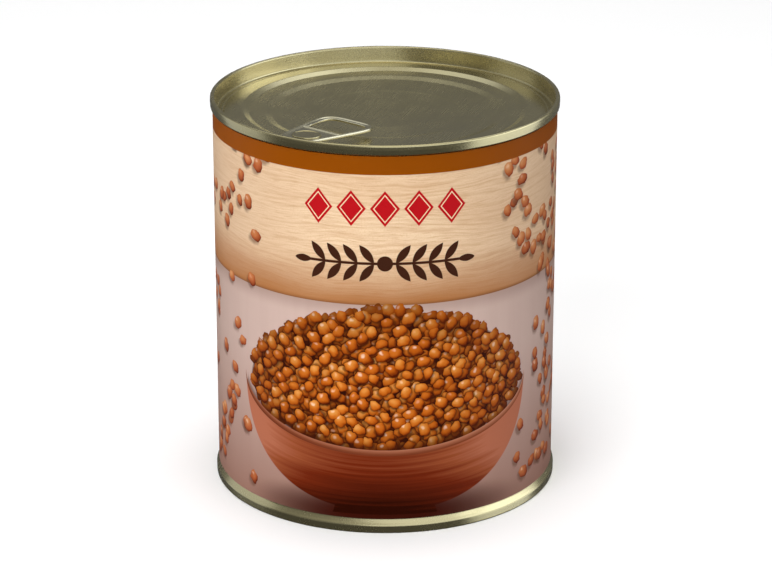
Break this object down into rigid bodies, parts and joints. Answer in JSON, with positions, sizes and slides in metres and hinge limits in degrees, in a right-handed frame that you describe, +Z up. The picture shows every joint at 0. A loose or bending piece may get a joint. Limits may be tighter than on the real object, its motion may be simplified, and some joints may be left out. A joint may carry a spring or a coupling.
{
  "type": "tin can of lentils",
  "caption": "Shut tall steel food tin with seamed ends, a stepped ring-pull lid and a wrap-round printed paper label.",
  "frame": {"origin": "centre of the foot, on the plane that the tin stands on", "axes": "+Z up along the tin's axis, -Y towards the front of the label, +X to the right seen from the front"},
  "size_m": [0.1026, 0.1026, 0.118],
  "materials": {
    "tinplate": "gold-tinted lacquered tinplate, satin, with fine rolling grain",
    "tab_steel": "lacquered steel with brighter rolled edges",
    "label_paper": "coated printed paper, semi-gloss"
  },
  "bodies": {
    "root": {"can_body": "tinplate", "bottom_end": "tinplate", "easy_open_end": "tinplate", "pull_tab": "tab_steel", "label": "label_paper"}
  },
  "joints": []
}
